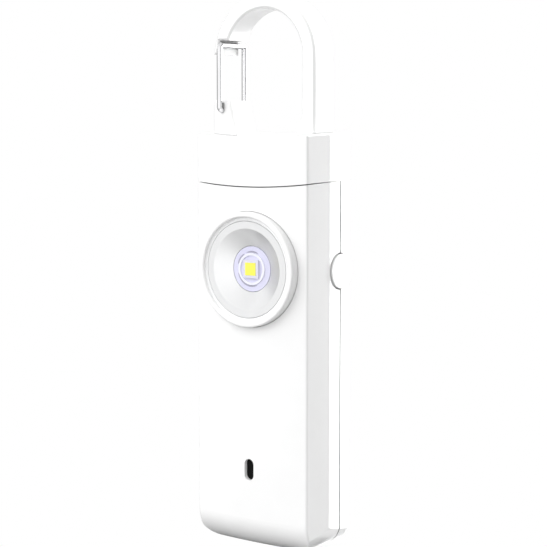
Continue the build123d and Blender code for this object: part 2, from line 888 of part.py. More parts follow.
def draw_led_package():
    with Locations((0, lamp_level)):
        Rectangle(led_package_size, led_package_size)


def draw_led_phosphor():
    with Locations((0, lamp_level)):
        Rectangle(led_phosphor_size, led_phosphor_size)


def draw_sound_mesh():
    with Locations((0, port_level)):
        Circle(mesh_radius)


def draw_piezo():
    with Locations((0, port_level)):
        Circle(piezo_radius)


def draw_ceramic():
    with Locations((0, port_level)):
        Circle(ceramic_radius)


# LED board with its white ring, package and yellow phosphor
led_board = front_piece("led_board", collar_back, led_board_thickness, draw_led_board)
led_dam = front_piece("led_dam", reflector_back, led_dam_height, draw_led_dam)
led_package = front_piece("led_package", reflector_back, led_package_height, draw_led_package)
phosphor_back = reflector_back - led_package_height
led_phosphor = front_piece("led_phosphor", phosphor_back, led_phosphor_height, draw_led_phosphor)

# Dust mesh behind the sound port, and the siren's brass disc with its ceramic
mesh_back = inner_front - mesh_pocket + mesh_thickness + fit_gap
sound_mesh = front_piece("sound_mesh", mesh_back, mesh_thickness, draw_sound_mesh)
piezo_disc = front_piece("piezo_disc", piezo_back, piezo_thickness, draw_piezo)
ceramic_back = piezo_back + ceramic_thickness
piezo_ceramic = front_piece("piezo_ceramic", ceramic_back, ceramic_thickness, draw_ceramic)

# Sounder ring: the round chamber wall with a ledge behind the disc
with BuildPart() as sounder_ring:
    with BuildSketch(front_plane(sounder_front + sounder_height)):
        with Locations((0, port_level)):
            Circle(sounder_radius)
            Circle(sounder_radius - sounder_wall - sounder_ledge, mode=Mode.SUBTRACT)
    extrude(amount=sounder_height)
    with BuildSketch(front_plane(piezo_back)):
        with Locations((0, port_level)):
            Circle(sounder_radius - sounder_wall)
    extrude(amount=sounder_height, mode=Mode.SUBTRACT)
sounder_ring.part.label = "sounder_ring"
export_step(sounder_ring.part, "parts/sounder_ring.step")

# Main board with its two screw holes
with BuildPart() as main_board:
    with BuildSketch(front_plane(board_back)):
        with Locations((0, (board_low + board_high) / 2)):
            RectangleRounded(board_width, board_high - board_low, switch_edge_inset)
        with Locations(*board_screw_places()):
            Circle(board_screw_radius + screw_play, mode=Mode.SUBTRACT)
    extrude(amount=board_thickness)
main_board.part.label = "main_board"
export_step(main_board.part, "parts/main_board.step")

board_screws = screws(
    "board_screws",
    [(-x, z) for x, z in board_screw_places()],
    back_plane(board_back),
    board_screw_radius,
    board_screw_head_radius,
    board_screw_head,
    board_thickness + board_screw_grip - fit_gap,
)

# Controller chip on the back of the board
with BuildPart() as controller_chip:
    with BuildSketch(back_plane(board_back)):
        with Locations((0, chip_level)):
            Rectangle(chip_size, chip_size)
    extrude(amount=chip_height)
    chamfer(controller_chip.faces().sort_by(Axis.Y)[-1].edges(), length=chip_height * chip_edge_share)
controller_chip.part.label = "controller_chip"
export_step(controller_chip.part, "parts/controller_chip.step")

# Boost coil that drives the siren: a bobbin with two flanges
with BuildPart() as boost_coil:
    with BuildSketch(back_plane(board_back)):
        with Locations((0, coil_level)):
            Circle(coil_radius)
    extrude(amount=coil_flange)
    with BuildSketch(back_plane(board_back + coil_flange)):
        with Locations((0, coil_level)):
            Circle((coil_radius + coil_core_radius) / 2)
    extrude(amount=coil_height - 2 * coil_flange)
    with BuildSketch(back_plane(board_back + coil_height - coil_flange)):
        with Locations((0, coil_level)):
            Circle(coil_radius)
    extrude(amount=coil_flange)
boost_coil.part.label = "boost_coil"
export_step(boost_coil.part, "parts/boost_coil.step")

# Side button: a round cap, two ears behind the wall and a stem to its switch
with BuildPart() as side_button:
    with BuildSketch(Plane.YZ.offset(flange_side)):
        with Locations((seam_back, button_level)):
            Circle(button_radius)
    extrude(amount=button_side - flange_side)
    fillet(side_button.faces().sort_by(Axis.X)[-1].edges(), radius=button_edge_radius)
    with BuildSketch(Plane.YZ.offset(flange_side)):
        with Locations((seam_back, button_level)):
            Rectangle(button_flange_depth, button_flange_height)
    extrude(amount=-button_flange_thickness)
    with BuildSketch(Plane.YZ.offset(flange_side - button_flange_thickness)):
        with Locations((seam_back, button_level)):
            Circle(button_stem_radius)
    extrude(amount=plunger_side + pin_play - flange_side + button_flange_thickness)
side_button.part.label = "side_button"
export_step(side_button.part, "parts/side_button.step")

# Switch under the side button, with its own plunger
with BuildPart() as tact_switch:
    with BuildSketch(Plane.YZ.offset(switch_side)):
        with Locations((seam_back, button_level)):
            Rectangle(switch_width, switch_height)
    extrude(amount=-switch_depth)
    with BuildSketch(Plane.YZ.offset(switch_side)):
        with Locations((seam_back, button_level)):
            Circle(plunger_radius + pin_play)
    extrude(amount=-plunger_sink - button_travel - fit_gap, mode=Mode.SUBTRACT)
tact_switch.part.label = "tact_switch"
export_step(tact_switch.part, "parts/tact_switch.step")

with BuildPart() as tact_plunger:
    with BuildSketch(Plane.YZ.offset(plunger_side)):
        with Locations((seam_back, button_level)):
            Circle(plunger_radius)
    extrude(amount=-plunger_reach - plunger_sink)
tact_plunger.part.label = "tact_plunger"
export_step(tact_plunger.part, "parts/tact_plunger.step")

# Siren switch under the pin, with its own plunger
pull_switch_middle = board_front - pull_switch_width / 2
with BuildPart() as pull_switch:
    with BuildSketch(Plane.XY.offset(pull_switch_top)):
        with Locations((0, pull_switch_middle)):
            Rectangle(pull_switch_width, pull_switch_width)
    extrude(amount=-pull_switch_height)
    with BuildSketch(Plane.XY.offset(pull_switch_top)):
        with Locations((0, pin_back)):
            Rectangle(pull_plunger_width + 2 * pin_play, pull_plunger_width + 2 * pin_play)
    extrude(amount=-pull_plunger_sink - fit_gap, mode=Mode.SUBTRACT)
pull_switch.part.label = "pull_switch"
export_step(pull_switch.part, "parts/pull_switch.step")

with BuildPart() as pull_plunger:
    with BuildSketch(Plane.XY.offset(pull_switch_top - pull_plunger_sink)):
        with Locations((0, pin_back)):
            Rectangle(pull_plunger_width, pull_plunger_width)
    extrude(amount=pin_tip_level - pin_play - pull_switch_top + pull_plunger_sink)
pull_plunger.part.label = "pull_plunger"
export_step(pull_plunger.part, "parts/pull_plunger.step")

# Charging socket on the back of the board: a thin shell with a tongue
with BuildPart() as charge_socket:
    with BuildSketch(Plane.YZ.offset(-socket_mouth)):
        with Locations((socket_back, socket_level)):
            SlotOverall(socket_width, socket_depth, rotation=90)
    extrude(amount=socket_length)
    with BuildSketch(Plane.YZ.offset(-socket_mouth)):
        with Locations((socket_back, socket_level)):
            SlotOverall(socket_width - 2 * socket_shell, socket_depth - 2 * socket_shell, rotation=90)
    extrude(amount=socket_length - socket_shell, mode=Mode.SUBTRACT)
    with BuildSketch(Plane.YZ.offset(socket_length - socket_mouth)):
        with Locations((socket_back, socket_level)):
            Rectangle(socket_tongue, socket_width * socket_tongue_share)
    extrude(amount=socket_shell - socket_length)
charge_socket.part.label = "charge_socket"
export_step(charge_socket.part, "parts/charge_socket.step")

# Soft cover over the charging socket, flush with the left side
with BuildPart() as port_cover:
    with BuildSketch(Plane.YZ.offset(-cover_floor - fit_gap)):
        with Locations((socket_back, socket_level)):
            SlotOverall(cover_height, cover_depth, rotation=90)
    extrude(amount=-overrun)
    add(outer, mode=Mode.INTERSECT)
    with BuildSketch(Plane.YZ.offset(-cover_floor - fit_gap)):
        with Locations((socket_back, socket_level)):
            SlotOverall(socket_width - 2 * cover_lip_inset, socket_depth - 2 * cover_lip_inset, rotation=90)
    extrude(amount=cover_lip)
port_cover.part.label = "port_cover"
export_step(port_cover.part, "parts/port_cover.step")

# Battery pouch and the foam tape that holds it to the board
cell_middle = cell_low + cell_height / 2
with BuildPart() as battery_cell:
    with BuildSketch(front_plane(board_front - tape_thickness)):
        with Locations((0, cell_middle)):
            Rectangle(cell_width, cell_height)
    extrude(amount=cell_depth)
    fillet(battery_cell.edges().filter_by(Axis.Z), radius=cell_edge_radius)
battery_cell.part.label = "battery_cell"
export_step(battery_cell.part, "parts/battery_cell.step")

with BuildPart() as battery_tape:
    with BuildSketch(front_plane(board_front)):
        with Locations((0, cell_middle)):
            Rectangle(board_width - tape_inset, cell_height - tape_inset)
    extrude(amount=tape_thickness)
battery_tape.part.label = "battery_tape"
export_step(battery_tape.part, "parts/battery_tape.step")


def leads(name, routes):
    """Pairs of thin insulated leads, each along its own bent route."""
    with BuildPart() as pair:
        for route in routes:
            with BuildLine() as line:
                FilletPolyline(*route, radius=lead_bend)
            with BuildSketch(Plane(origin=line.line @ 0, z_dir=line.line % 0)):
                Circle(lead_radius)
            sweep(path=line.line)
    pair.part.label = name
    export_step(pair.part, "parts/" + name + ".step")
    return pair


# Leads from the lamp, the battery and the siren to the board
lamp_room = board_front - collar_back
lamp_leads = leads(
    "lamp_leads",
    [
        [
            (x, collar_back, lamp_level),
            (x, collar_back + lamp_room / 2, lamp_level),
            (x, collar_back + lamp_room / 2, lamp_level - 2 * lead_spread),
            (x, board_front, lamp_level - 2 * lead_spread),
        ]
        for x in (-lead_spread, lead_spread)
    ],
)

siren_room = board_front - ceramic_back
siren_leads = leads(
    "siren_leads",
    [
        [
            (x, ceramic_back, port_level),
            (x, ceramic_back + siren_room / 2, port_level),
            (x, ceramic_back + siren_room / 2, port_level + 2 * lead_spread),
            (x, board_front, port_level + 2 * lead_spread),
        ]
        for x in (-lead_spread, lead_spread)
    ],
)

cell_top = cell_low + cell_height
cell_front_middle = board_front - tape_thickness - cell_depth / 2
battery_leads = leads(
    "battery_leads",
    [
        [
            (x, cell_front_middle, cell_top),
            (x, cell_front_middle, cell_top + 2 * lead_spread),
            (x, board_front, cell_top + 2 * lead_spread),
        ]
        for x in (-lead_spread, lead_spread)
    ],
)
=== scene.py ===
import math

import bmesh
import bpy
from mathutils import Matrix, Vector


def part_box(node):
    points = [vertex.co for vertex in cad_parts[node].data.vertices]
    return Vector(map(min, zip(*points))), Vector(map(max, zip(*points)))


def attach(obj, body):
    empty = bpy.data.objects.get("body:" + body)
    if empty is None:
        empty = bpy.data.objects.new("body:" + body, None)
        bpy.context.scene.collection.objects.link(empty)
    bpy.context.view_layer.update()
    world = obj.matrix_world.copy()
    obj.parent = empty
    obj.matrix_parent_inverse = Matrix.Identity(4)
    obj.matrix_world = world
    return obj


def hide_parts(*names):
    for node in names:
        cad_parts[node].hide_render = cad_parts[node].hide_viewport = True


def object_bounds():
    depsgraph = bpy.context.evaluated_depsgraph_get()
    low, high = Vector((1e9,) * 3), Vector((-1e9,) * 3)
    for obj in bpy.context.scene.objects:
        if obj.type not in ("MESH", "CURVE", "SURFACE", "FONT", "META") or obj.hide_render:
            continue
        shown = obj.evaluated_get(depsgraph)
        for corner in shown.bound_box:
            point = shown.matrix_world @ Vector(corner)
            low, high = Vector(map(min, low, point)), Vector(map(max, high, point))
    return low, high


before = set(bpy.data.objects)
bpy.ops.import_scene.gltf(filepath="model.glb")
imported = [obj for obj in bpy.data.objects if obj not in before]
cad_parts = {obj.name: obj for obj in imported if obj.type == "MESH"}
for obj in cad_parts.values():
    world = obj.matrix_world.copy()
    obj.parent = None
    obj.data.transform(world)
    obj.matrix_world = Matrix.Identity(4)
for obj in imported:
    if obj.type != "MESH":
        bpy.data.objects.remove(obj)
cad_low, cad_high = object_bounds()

scene = bpy.context.scene
scene.view_settings.view_transform = "Standard"

MM = 0.001

# Camera
CAMERA_AZIMUTH = math.radians(36.07)
CAMERA_ELEVATION = math.radians(5.59)
CAMERA_DISTANCE = 320.2 * MM
CAMERA_LENS = 104.0
CAMERA_NEAR = 10 * MM
AIM = Vector((0.25, 0.18, 55.45)) * MM


def towards(azimuth, elevation):
    """The unit vector to a place: azimuth 0 is the front, 90 degrees the right side."""
    flat = math.cos(elevation)
    return Vector((math.sin(azimuth) * flat, -math.cos(azimuth) * flat, math.sin(elevation)))


camera_data = bpy.data.cameras.new("camera")
camera_data.lens = CAMERA_LENS
camera_data.clip_start = CAMERA_NEAR
camera = bpy.data.objects.new("camera", camera_data)
camera.location = AIM + CAMERA_DISTANCE * towards(CAMERA_AZIMUTH, CAMERA_ELEVATION)
camera.rotation_euler = (AIM - camera.location).to_track_quat("-Z", "Y").to_euler()
scene.collection.objects.link(camera)
scene.camera = camera


# Lamps around the object: azimuth and elevation in degrees, then distance, width, height
# and radiance
KEY_LAMP = (-42, 34, 0.70, 0.70, 0.70, 2.2)
SIDE_LAMP = (163.5, 9.8, 0.32, 0.235, 0.44, 7.2)
LEFT_LAMP = (-84, 27, 0.35, 0.26, 0.22, 1.0)

# A small lamp low behind the foot, which faces the front
LOW_LAMP_PLACE = Vector((7.5, 22, -7)) * MM
LOW_LAMP_WIDTH = 35 * MM
LOW_LAMP_HEIGHT = 12 * MM
LOW_LAMP_RADIANCE = 1.4


def softbox(name, place, target, width, height, radiance):
    """A soft rectangular lamp at a place that faces a target."""
    data = bpy.data.lights.new(name, "AREA")
    data.shape = "RECTANGLE"
    data.size = width
    data.size_y = height
    data.energy = radiance * math.pi * width * height
    lamp = bpy.data.objects.new(name, data)
    lamp.location = place
    lamp.rotation_euler = (target - place).to_track_quat("-Z", "Y").to_euler()
    lamp.visible_camera = False
    scene.collection.objects.link(lamp)
    return lamp


def lamp_around(name, azimuth, elevation, distance, width, height, radiance):
    """A softbox that faces the object from an azimuth and an elevation."""
    place = AIM + distance * towards(math.radians(azimuth), math.radians(elevation))
    return softbox(name, place, AIM, width, height, radiance)


key_lamp = lamp_around("key_lamp", *KEY_LAMP)
key_lamp.visible_glossy = False
lamp_around("side_lamp", *SIDE_LAMP)
lamp_around("left_lamp", *LEFT_LAMP)
softbox(
    "low_lamp",
    LOW_LAMP_PLACE,
    LOW_LAMP_PLACE + towards(0, 0),
    LOW_LAMP_WIDTH,
    LOW_LAMP_HEIGHT,
    LOW_LAMP_RADIANCE,
)

# Room: brightness at shares of the way from its back end to its front end, then its sky and ground
ROOM_AZIMUTH = math.radians(12)
STUDIO_STOPS = [
    (0.0, 0.9),
    (0.07, 0.9),
    (0.12, 0.15),
    (0.48, 0.15),
    (0.58, 0.7),
    (0.75, 0.95),
    (0.9, 1.25),
    (1.0, 1.34),
]
SKY_START = 0.35
SKY_FULL = 0.75
SKY_STRENGTH = 1.02
GROUND_START = -0.4
GROUND_FULL = -0.8
GROUND_SHARE = 0.7


def build_world():
    """White for the camera, and a room with bright ends, dim sides and a bright ceiling."""
    world = bpy.data.worlds.new("studio")
    world.use_nodes = True
    nodes = world.node_tree.nodes
    links = world.node_tree.links
    nodes.clear()
    place = nodes.new("ShaderNodeTexCoord")
    along = nodes.new("ShaderNodeVectorMath")
    along.operation = "DOT_PRODUCT"
    along.inputs[1].default_value = towards(ROOM_AZIMUTH, 0)
    links.new(place.outputs["Generated"], along.inputs[0])
    share = nodes.new("ShaderNodeMapRange")
    share.inputs["From Min"].default_value = -1
    links.new(along.outputs["Value"], share.inputs["Value"])
    ramp = nodes.new("ShaderNodeValToRGB")
    stops = ramp.color_ramp.elements
    for spot, level in STUDIO_STOPS:
        stop = stops[0] if spot == 0 else stops[-1] if spot == 1 else stops.new(spot)
        stop.position = spot
        stop.color = (level, level, level, 1)
    links.new(share.outputs["Result"], ramp.inputs["Fac"])
    parts = nodes.new("ShaderNodeSeparateXYZ")
    links.new(place.outputs["Generated"], parts.inputs["Vector"])
    sky = nodes.new("ShaderNodeMapRange")
    sky.interpolation_type = "SMOOTHSTEP"
    sky.inputs["From Min"].default_value = SKY_START
    sky.inputs["From Max"].default_value = SKY_FULL
    sky.inputs["To Max"].default_value = SKY_STRENGTH
    links.new(parts.outputs["Z"], sky.inputs["Value"])
    room = nodes.new("ShaderNodeMix")
    room.data_type = "RGBA"
    room.blend_type = "LIGHTEN"
    room.inputs["Factor"].default_value = 1
    links.new(ramp.outputs["Color"], room.inputs["A"])
    links.new(sky.outputs["Result"], room.inputs["B"])
    ground = nodes.new("ShaderNodeMapRange")
    ground.inputs["From Min"].default_value = GROUND_FULL
    ground.inputs["From Max"].default_value = GROUND_START
    ground.inputs["To Min"].default_value = GROUND_SHARE
    links.new(parts.outputs["Z"], ground.inputs["Value"])
    lit = nodes.new("ShaderNodeBackground")
    links.new(room.outputs["Result"], lit.inputs["Color"])
    links.new(ground.outputs["Result"], lit.inputs["Strength"])
    seen = nodes.new("ShaderNodeBackground")
    seen.inputs["Color"].default_value = (1, 1, 1, 1)
    path = nodes.new("ShaderNodeLightPath")
    mix = nodes.new("ShaderNodeMixShader")
    links.new(path.outputs["Is Camera Ray"], mix.inputs["Fac"])
    links.new(lit.outputs["Background"], mix.inputs[1])
    links.new(seen.outputs["Background"], mix.inputs[2])
    out = nodes.new("ShaderNodeOutputWorld")
    links.new(mix.outputs["Shader"], out.inputs["Surface"])
    scene.world = world


build_world()


# Materials: how far noises reach, how much they change, and how deep their bumps are
NOISE_LOW = 0.3
NOISE_HIGH = 0.7
# Painted shade in crevices: the share of the open directions where it starts, and its darkest level
PAINTED_SHADE_START = 0.25
PAINTED_SHADE_LEAST = 0.1

GRAIN_SCALE = 900
GRAIN_DETAIL = 4
GRAIN_DEPTH = 0.004 * MM
GRAIN_STRENGTH = 0.4
PATCH_RATIO = 8
PATCH_DETAIL = 2
PLASTIC_CHANGE = 0.01
PLASTIC_SHEEN_CHANGE = 0.15

METAL_MARK_SCALE = 1200
METAL_MARK_DETAIL = 3
METAL_MARK_DEPTH = 0.002 * MM
METAL_MARK_STRENGTH = 0.3
METAL_PATCH_SCALE = 150
METAL_CHANGE = 0.03
METAL_SHEEN_CHANGE = 0.3

LENS_RIPPLE_SCALE = 120
LENS_RIPPLE_DETAIL = 1
LENS_RIPPLE_DEPTH = 0.02 * MM
LENS_RIPPLE_STRENGTH = 0.3
LENS_CHANGE = 0.01
LENS_IOR = 1.49

FACET_PATCH_SCALE = 200
FACET_CHANGE = 0.02
FACET_SHEEN_CHANGE = 0.2
FACET_DEPTH = 0.05 * MM
FACET_STRENGTH = 0.35

# A wave texture has this many radians per unit of its scale and of length
WAVE_RADIANS = 20
THREAD_CHANGE = 0.6
THREAD_DEPTH = 0.05 * MM
THREAD_STRENGTH = 0.6
THREAD_ROUGHNESS = 0.8
THREAD_SPECULAR = 0.2


def blank_material(name):
    """A material with an empty principled shader, its nodes and its links."""
    material = bpy.data.materials.new(name)
    material.use_nodes = True
    nodes = material.node_tree.nodes
    nodes.clear()
    shader = nodes.new("ShaderNodeBsdfPrincipled")
    out = nodes.new("ShaderNodeOutputMaterial")
    material.node_tree.links.new(shader.outputs["BSDF"], out.inputs["Surface"])
    return material, shader, nodes, material.node_tree.links


def noise(nodes, links, scale, detail, stretch=(1, 1, 1)):
    """Noise in the object's own metres."""
    place = nodes.new("ShaderNodeTexCoord")
    mapping = nodes.new("ShaderNodeMapping")
    mapping.inputs["Scale"].default_value = stretch
    links.new(place.outputs["Object"], mapping.inputs["Vector"])
    texture = nodes.new("ShaderNodeTexNoise")
    texture.inputs["Scale"].default_value = scale
    texture.inputs["Detail"].default_value = detail
    links.new(mapping.outputs["Vector"], texture.inputs["Vector"])
    return texture.outputs["Fac"]


def spread(nodes, links, source, low, high):
    """A noise turned into values between low and high."""
    spread_node = nodes.new("ShaderNodeMapRange")
    spread_node.inputs["From Min"].default_value = NOISE_LOW
    spread_node.inputs["From Max"].default_value = NOISE_HIGH
    spread_node.inputs["To Min"].default_value = low
    spread_node.inputs["To Max"].default_value = high
    links.new(source, spread_node.inputs["Value"])
    return spread_node.outputs["Result"]


def uneven(nodes, links, source, level, change):
    """A level that varies by a share of itself with a noise."""
    return spread(nodes, links, source, level * (1 - change), level * (1 + change))


def tint(nodes, links, source, colour, change):
    """A colour that varies a little with a noise."""
    mix = nodes.new("ShaderNodeMix")
    mix.data_type = "RGBA"
    mix.inputs["A"].default_value = (*[c * (1 - change) for c in colour], 1)
    mix.inputs["B"].default_value = (*[min(1, c * (1 + change)) for c in colour], 1)
    links.new(spread(nodes, links, source, 0, 1), mix.inputs["Factor"])
    return mix.outputs["Result"]


def bump(nodes, links, source, depth, strength):
    """A bump from a height in metres."""
    node = nodes.new("ShaderNodeBump")
    node.inputs["Distance"].default_value = depth
    node.inputs["Strength"].default_value = strength
    links.new(source, node.inputs["Height"])
    return node.outputs["Normal"]


def paint_crevice_shade(nodes, links, colour, reach, full):
    """The colour with painted shade: darker where less than the full share of directions is open to
    the reach.
    """
    near = nodes.new("ShaderNodeAmbientOcclusion")
    near.inputs["Distance"].default_value = reach
    amount = nodes.new("ShaderNodeMapRange")
    amount.inputs["From Min"].default_value = full * PAINTED_SHADE_START
    amount.inputs["From Max"].default_value = full
    amount.inputs["To Min"].default_value = PAINTED_SHADE_LEAST
    links.new(near.outputs["AO"], amount.inputs["Value"])
    mix = nodes.new("ShaderNodeMix")
    mix.data_type = "RGBA"
    mix.blend_type = "MULTIPLY"
    mix.inputs["Factor"].default_value = 1
    links.new(colour, mix.inputs["A"])
    links.new(amount.outputs["Result"], mix.inputs["B"])
    return mix.outputs["Result"]


def moulded(
    name, colour, roughness, grain=GRAIN_SCALE, depth=GRAIN_DEPTH, change=PLASTIC_CHANGE, painted_crevice_shade=None
):
    """Moulded plastic: a fine grain, slow changes of colour, an uneven sheen, and painted shade in
    its crevices when asked.
    """
    material, shader, nodes, links = blank_material(name)
    slow = noise(nodes, links, grain / PATCH_RATIO, PATCH_DETAIL)
    fine = noise(nodes, links, grain, GRAIN_DETAIL)
    colours = tint(nodes, links, slow, colour, change)
    if painted_crevice_shade:
        # painted shade: the colour is darkened in crevices, seams and gaps
        colours = paint_crevice_shade(nodes, links, colours, *painted_crevice_shade)
    links.new(colours, shader.inputs["Base Color"])
    sheen = uneven(nodes, links, fine, roughness, PLASTIC_SHEEN_CHANGE)
    links.new(sheen, shader.inputs["Roughness"])
    links.new(bump(nodes, links, fine, depth, GRAIN_STRENGTH), shader.inputs["Normal"])
    return material


def metal(name, colour, roughness, stretch=(1, 1, 1)):
    """Polished or drawn metal with faint marks along it."""
    material, shader, nodes, links = blank_material(name)
    marks = noise(nodes, links, METAL_MARK_SCALE, METAL_MARK_DETAIL, stretch)
    slow = noise(nodes, links, METAL_PATCH_SCALE, PATCH_DETAIL)
    links.new(tint(nodes, links, slow, colour, METAL_CHANGE), shader.inputs["Base Color"])
    sheen = uneven(nodes, links, marks, roughness, METAL_SHEEN_CHANGE)
    links.new(sheen, shader.inputs["Roughness"])
    relief = bump(nodes, links, marks, METAL_MARK_DEPTH, METAL_MARK_STRENGTH)
    links.new(relief, shader.inputs["Normal"])
    shader.inputs["Metallic"].default_value = 1
    return material


def clear(name, colour, roughness):
    """Clear moulded lens with a faint ripple, which lets the lamps light what is behind it."""
    material, shader, nodes, links = blank_material(name)
    out = shader.outputs["BSDF"].links[0].to_node
    path = nodes.new("ShaderNodeLightPath")
    through = nodes.new("ShaderNodeBsdfTransparent")
    mix = nodes.new("ShaderNodeMixShader")
    passing = nodes.new("ShaderNodeMath")
    passing.operation = "MAXIMUM"
    links.new(path.outputs["Is Shadow Ray"], passing.inputs[0])
    links.new(path.outputs["Is Reflection Ray"], passing.inputs[1])
    links.new(passing.outputs["Value"], mix.inputs["Fac"])
    links.new(shader.outputs["BSDF"], mix.inputs[1])
    links.new(through.outputs["BSDF"], mix.inputs[2])
    links.new(mix.outputs["Shader"], out.inputs["Surface"])
    slow = noise(nodes, links, LENS_RIPPLE_SCALE, LENS_RIPPLE_DETAIL)
    links.new(tint(nodes, links, slow, colour, LENS_CHANGE), shader.inputs["Base Color"])
    relief = bump(nodes, links, slow, LENS_RIPPLE_DEPTH, LENS_RIPPLE_STRENGTH)
    links.new(relief, shader.inputs["Normal"])
    shader.inputs["Roughness"].default_value = roughness
    shader.inputs["Transmission Weight"].default_value = 1
    shader.inputs["IOR"].default_value = LENS_IOR
    return material


def facets(name, colour, roughness, size):
    """Metallised plastic with small soft facets, as a lamp's reflector has."""
    material, shader, nodes, links = blank_material(name)
    place = nodes.new("ShaderNodeTexCoord")
    cells = nodes.new("ShaderNodeTexVoronoi")
    cells.feature = "SMOOTH_F1"
    cells.inputs["Scale"].default_value = 1 / size
    links.new(place.outputs["Object"], cells.inputs["Vector"])
    slow = noise(nodes, links, FACET_PATCH_SCALE, PATCH_DETAIL)
    links.new(tint(nodes, links, slow, colour, FACET_CHANGE), shader.inputs["Base Color"])
    sheen = uneven(nodes, links, slow, roughness, FACET_SHEEN_CHANGE)
    links.new(sheen, shader.inputs["Roughness"])
    relief = bump(nodes, links, cells.outputs["Distance"], FACET_DEPTH, FACET_STRENGTH)
    links.new(relief, shader.inputs["Normal"])
    shader.inputs["Metallic"].default_value = 1
    return material


def weave(name, colour, pitch):
    """Fine acoustic mesh: dark threads with darker holes."""
    material, shader, nodes, links = blank_material(name)
    place = nodes.new("ShaderNodeTexCoord")
    heights = []
    for direction in ("X", "Z"):
        wave = nodes.new("ShaderNodeTexWave")
        wave.bands_direction = direction
        wave.inputs["Scale"].default_value = 2 * math.pi / (WAVE_RADIANS * pitch)
        links.new(place.outputs["Object"], wave.inputs["Vector"])
        heights.append(wave.outputs["Fac"])
    both = nodes.new("ShaderNodeMath")
    both.operation = "MULTIPLY"
    links.new(heights[0], both.inputs[0])
    links.new(heights[1], both.inputs[1])
    height = both.outputs["Value"]
    links.new(tint(nodes, links, height, colour, THREAD_CHANGE), shader.inputs["Base Color"])
    relief = bump(nodes, links, height, THREAD_DEPTH, THREAD_STRENGTH)
    links.new(relief, shader.inputs["Normal"])
    shader.inputs["Roughness"].default_value = THREAD_ROUGHNESS
    shader.inputs["Specular IOR Level"].default_value = THREAD_SPECULAR
    return material


# Palette. Painted shade darkens crevices within a reach, where less than a share of directions is
# open
WHITE = (0.88, 0.88, 0.88)
SHELL_PAINTED_SHADE = (0.8 * MM, 0.7)
HOOK_PAINTED_SHADE = (0.8 * MM, 0.8)
FACET_SIZE = 0.3 * MM
MESH_PITCH = 0.12 * MM

# The shell and the hook get painted shade in their crevices, seams and gaps
shell_plastic = moulded("shell_plastic", WHITE, 0.16, painted_crevice_shade=SHELL_PAINTED_SHADE)
bezel_plastic = moulded("bezel_plastic", WHITE, 0.5)
hook_enamel = moulded("hook_enamel", WHITE, 0.20, grain=500, depth=0.006 * MM, painted_crevice_shade=HOOK_PAINTED_SHADE)
button_plastic = moulded("button_plastic", WHITE, 0.16)
soft_cover = moulded("soft_cover", (0.84, 0.84, 0.84), 0.5)
inner_plastic = moulded("inner_plastic", (0.78, 0.78, 0.76), 0.4)
polished_steel = metal("polished_steel", (0.74, 0.74, 0.75), 0.10, stretch=(1, 1, 0.1))
screw_steel = metal("screw_steel", (0.62, 0.62, 0.64), 0.25)
socket_steel = metal("socket_steel", (0.70, 0.70, 0.72), 0.3, stretch=(0.1, 1, 1))
brass = metal("brass", (0.78, 0.60, 0.28), 0.3)
pouch_foil = metal("pouch_foil", (0.66, 0.67, 0.69), 0.35)
lens_clear = clear("lens_clear", (0.98, 0.985, 0.99), 0.02)
reflector_metal = facets("reflector_metal", (0.83, 0.83, 0.83), 0.42, FACET_SIZE)
led_mask = moulded("led_mask", (0.66, 0.65, 0.83), 0.35, grain=1500, change=0.02)
led_ceramic = moulded("led_ceramic", (0.68, 0.67, 0.80), 0.3)
led_white = moulded("led_white", (0.80, 0.80, 0.88), 0.3)
led_dark = moulded("led_dark", (0.30, 0.29, 0.40), 0.4)
phosphor = moulded("phosphor", (0.98, 0.88, 0.03), 0.35, grain=2500, change=0.04)
piezo_white = moulded("piezo_white", (0.75, 0.74, 0.70), 0.5)
acoustic_mesh = weave("acoustic_mesh", (0.005, 0.005, 0.005), MESH_PITCH)
circuit_mask = moulded("circuit_mask", (0.02, 0.17, 0.07), 0.35, grain=700, change=0.1)
black_moulding = moulded("black_moulding", (0.02, 0.02, 0.022), 0.45, change=0.1)
foam_tape = moulded("foam_tape", (0.08, 0.08, 0.09), 0.9, grain=2500, depth=0.03 * MM, change=0.15)
red_lead = moulded("red_lead", (0.45, 0.02, 0.02), 0.4, change=0.05)

NODE_FINISH = {
    shell_plastic: ["front_shell", "back_shell", "cap_shell"],
    bezel_plastic: ["lamp_bezel"],
    hook_enamel: ["carry_hook", "gate_post"],
    button_plastic: ["side_button"],
    soft_cover: ["port_cover"],
    inner_plastic: ["pin_guide", "cap_base_plate", "sounder_ring", "tact_plunger", "pull_plunger"],
    polished_steel: ["wire_gate", "pull_pin"],
    screw_steel: ["shell_screws", "cap_screws", "board_screws", "hook_keeper"],
    socket_steel: ["charge_socket"],
    brass: ["piezo_disc"],
    pouch_foil: ["battery_cell"],
    lens_clear: ["lamp_lens"],
    reflector_metal: ["reflector"],
    led_mask: ["led_board"],
    led_ceramic: ["led_package"],
    led_white: ["led_dam"],
    phosphor: ["led_phosphor"],
    piezo_white: ["piezo_ceramic"],
    acoustic_mesh: ["sound_mesh"],
    circuit_mask: ["main_board"],
    black_moulding: ["controller_chip", "boost_coil", "tact_switch", "pull_switch"],
    foam_tape: ["battery_tape"],
    red_lead: ["lamp_leads", "siren_leads", "battery_leads"],
}

for finish, names in NODE_FINISH.items():
    for name in names:
        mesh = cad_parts[name].data
        mesh.materials.clear()
        mesh.materials.append(finish)


# LED board's printed tracks: dark arcs just outside the raised ring, in degrees
TRACK_GAP = 0.22 * MM
TRACK_WIDTH = 0.32 * MM
TRACK_HEIGHT = 0.06 * MM
TRACK_SPANS = [(62, 112), (122, 165), (196, 292)]
TRACK_STEPS = 24
TRACK_END_SHARE = 0.2


